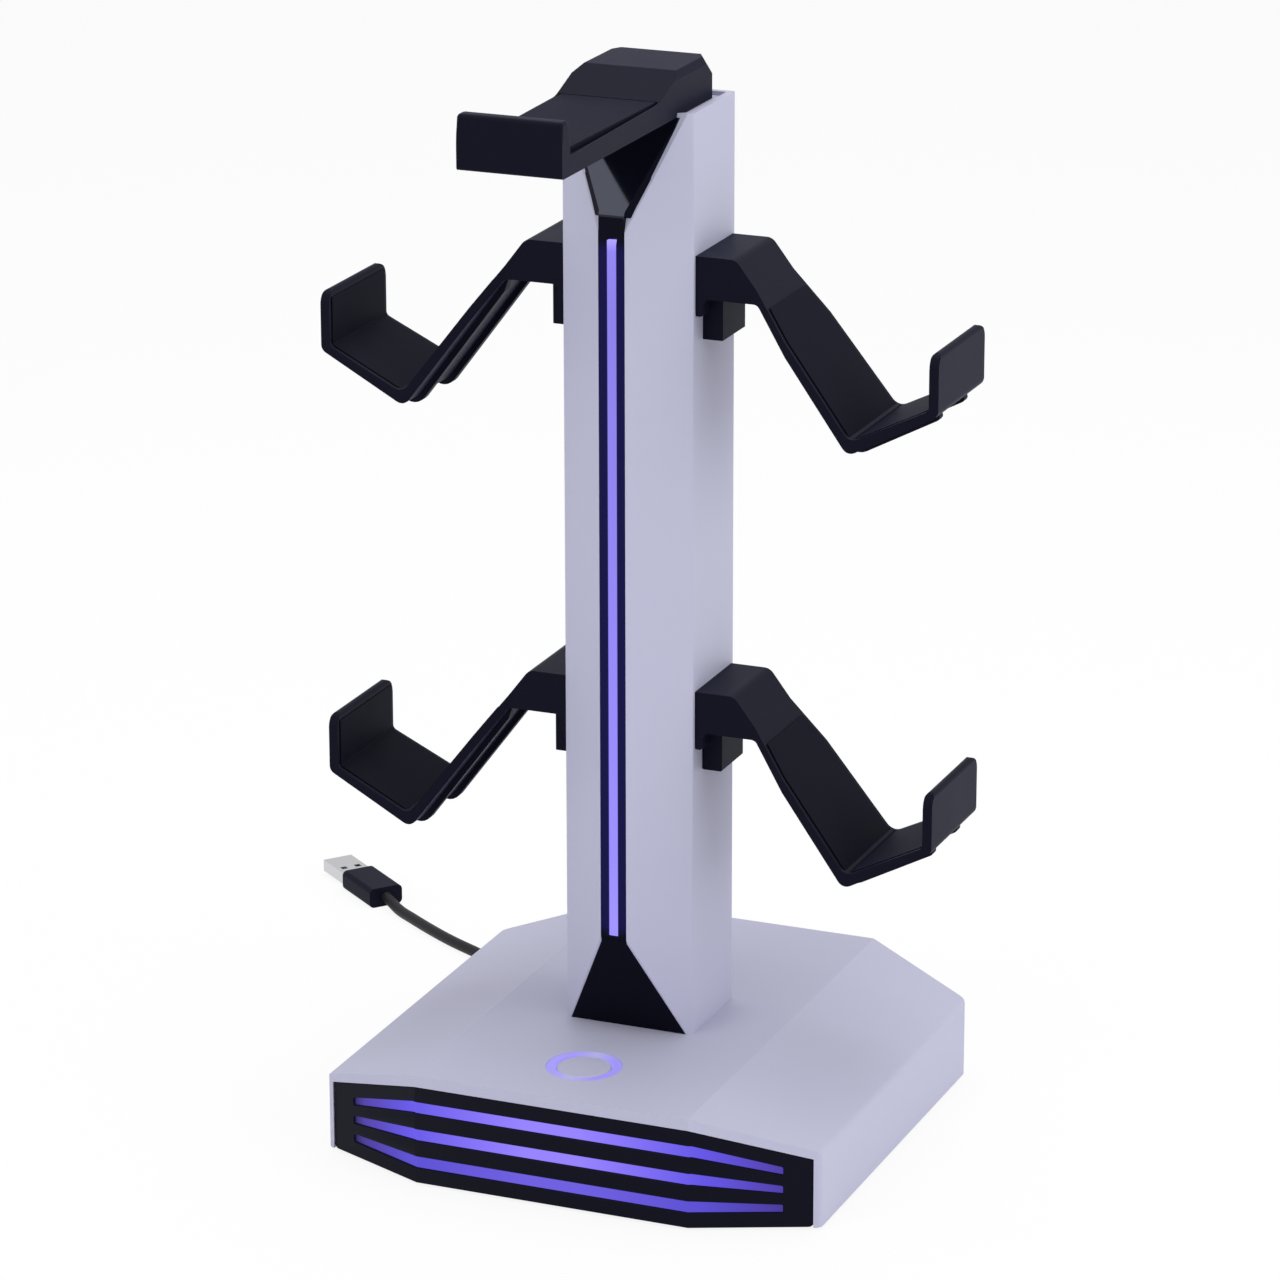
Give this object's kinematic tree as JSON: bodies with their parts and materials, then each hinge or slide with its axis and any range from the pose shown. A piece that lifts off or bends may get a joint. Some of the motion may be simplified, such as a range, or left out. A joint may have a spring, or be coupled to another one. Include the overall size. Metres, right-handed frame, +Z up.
{
  "type": "game controller stand",
  "caption": "Lit post on a wide base with flared side cradles for game controllers, a headset hanger on top, a mode button and a USB lead.",
  "frame": {"origin": "on the table, midway between the hanger's lip and the base's back, in the middle of the stand's width", "axes": "+Z up along the post, +X to the right, +Y to the back; the lit front faces -Y"},
  "size_m": [0.3204, 0.2966, 0.3816],
  "materials": {
    "white_body": "fine satin, cool white",
    "black_plastic": "fine matt moulding texture",
    "gloss_black": "gloss",
    "soft_black": "soft matt rubber",
    "violet_light": "lit diffuser",
    "ring_light": "lit diffuser",
    "foot_rubber": "matt",
    "steel": "zinc plated",
    "circuit_board": "solder mask",
    "cord_rubber": "matt jacket",
    "plug_metal": "nickel plated",
    "plug_insert": "smooth"
  },
  "bodies": {
    "stand": {"base_shell": "white_body", "base_plate": "black_plastic", "ballast": "steel", "front_panel": "gloss_black", "stripe_low": "violet_light", "stripe_mid": "violet_light", "stripe_high": "violet_light", "stripe_board": "circuit_board", "main_board": "circuit_board", "mode_switch": "black_plastic", "button_ring": "ring_light", "foot_front_left": "foot_rubber", "foot_front_right": "foot_rubber", "foot_rear_left": "foot_rubber", "foot_rear_right": "foot_rubber", "base_screws": "steel", "post_left": "white_body", "post_right": "white_body", "post_spine": "gloss_black", "post_bar": "violet_light", "post_board": "circuit_board", "post_back": "white_body", "post_cap": "white_body", "post_core": "steel", "hanger": "black_plastic", "hanger_pad": "soft_black", "hanger_screws": "steel", "arm_upper_left": "black_plastic", "arm_upper_right": "black_plastic", "arm_lower_left": "black_plastic", "arm_lower_right": "black_plastic", "pad_upper_left": "soft_black", "pad_upper_right": "soft_black", "pad_lower_left": "soft_black", "pad_lower_right": "soft_black", "socket_upper_left": "black_plastic", "socket_upper_right": "black_plastic", "socket_lower_left": "black_plastic", "socket_lower_right": "black_plastic", "cord_gland": "cord_rubber", "cord_lead": "cord_rubber", "cord_coil": "cord_rubber", "cord_tail": "cord_rubber", "plug_body": "cord_rubber", "plug_shell": "plug_metal", "plug_tongue": "plug_insert"},
    "button": {"mode_button": "white_body"}
  },
  "joints": [
    {"name": "button_press", "type": "slide", "parent": "stand", "child": "button", "axis": [0, 0, -1], "range_m": [0, 0.0012], "stiffness_N_per_m": 400, "springref_m": -0.0006}
  ]
}
